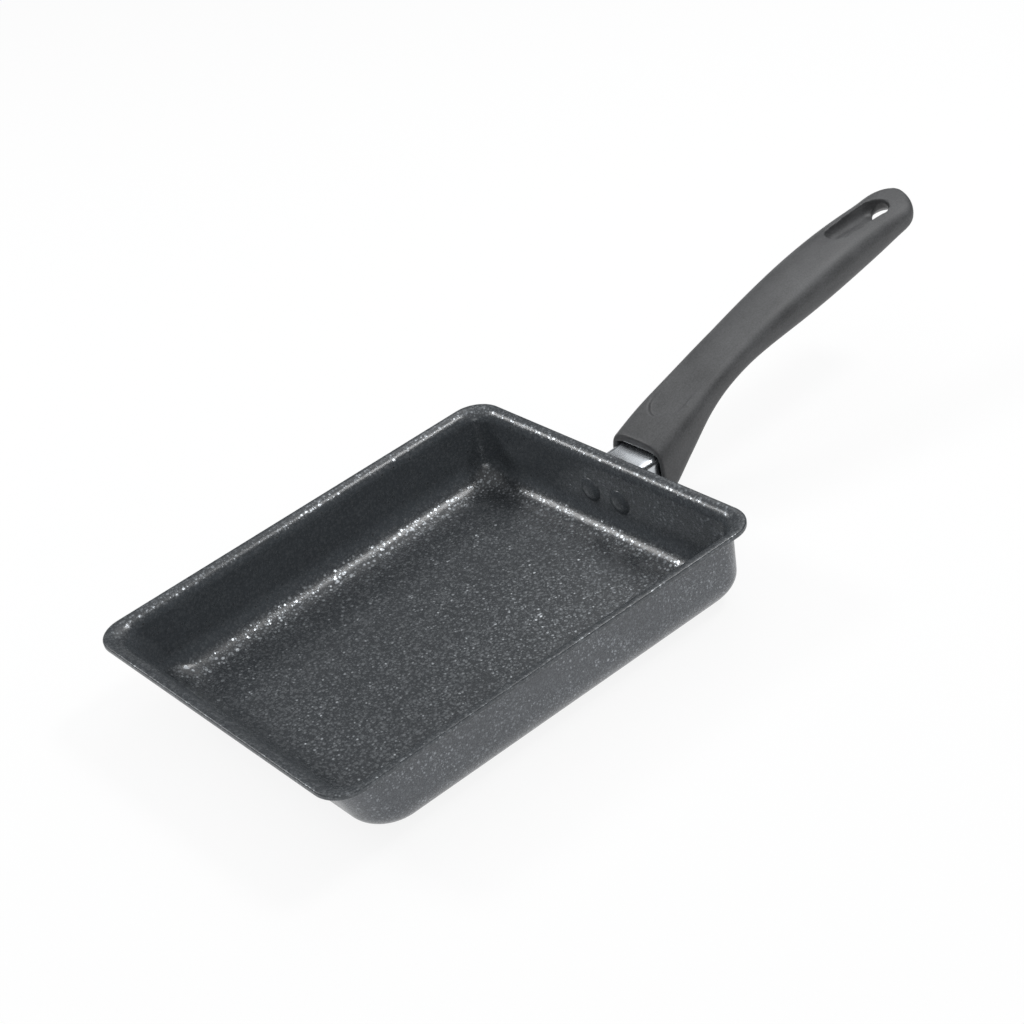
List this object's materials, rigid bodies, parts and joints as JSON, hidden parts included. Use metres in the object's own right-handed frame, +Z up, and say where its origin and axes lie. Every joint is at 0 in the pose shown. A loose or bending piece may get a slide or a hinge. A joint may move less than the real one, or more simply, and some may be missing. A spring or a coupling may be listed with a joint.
{
  "type": "tamagoyaki pan",
  "caption": "Rectangular Japanese omelette pan with a speckled non-stick coating, a flared rim, a riveted steel bracket and a long moulded grip with a hanging eye.",
  "frame": {"origin": "on the hob, at the resting face of the tray, below the middle of the tray's length and width (the grip is not counted)", "axes": "+X runs from the tray's sloped front wall along the handle to its hanging eye, +Z is up out of the tray, and +Y completes the right-handed frame"},
  "size_m": [0.3647, 0.1536, 0.0688],
  "materials": {
    "speckled_coating": "satin non-stick coating, charcoal with fine pale specks",
    "coated_rivet": "satin coating over aluminium",
    "bracket_steel": "satin stainless sheet",
    "grip_phenolic": "fine matte moulding",
    "nut_brass": "turned",
    "zinc_steel": "zinc plated"
  },
  "bodies": {
    "root": {"pan_tray": "speckled_coating", "pan_rivets": "coated_rivet", "handle_bracket": "bracket_steel", "handle_grip": "grip_phenolic", "tongue_nut": "nut_brass", "lock_washer": "zinc_steel", "handle_screw": "zinc_steel"}
  },
  "joints": []
}
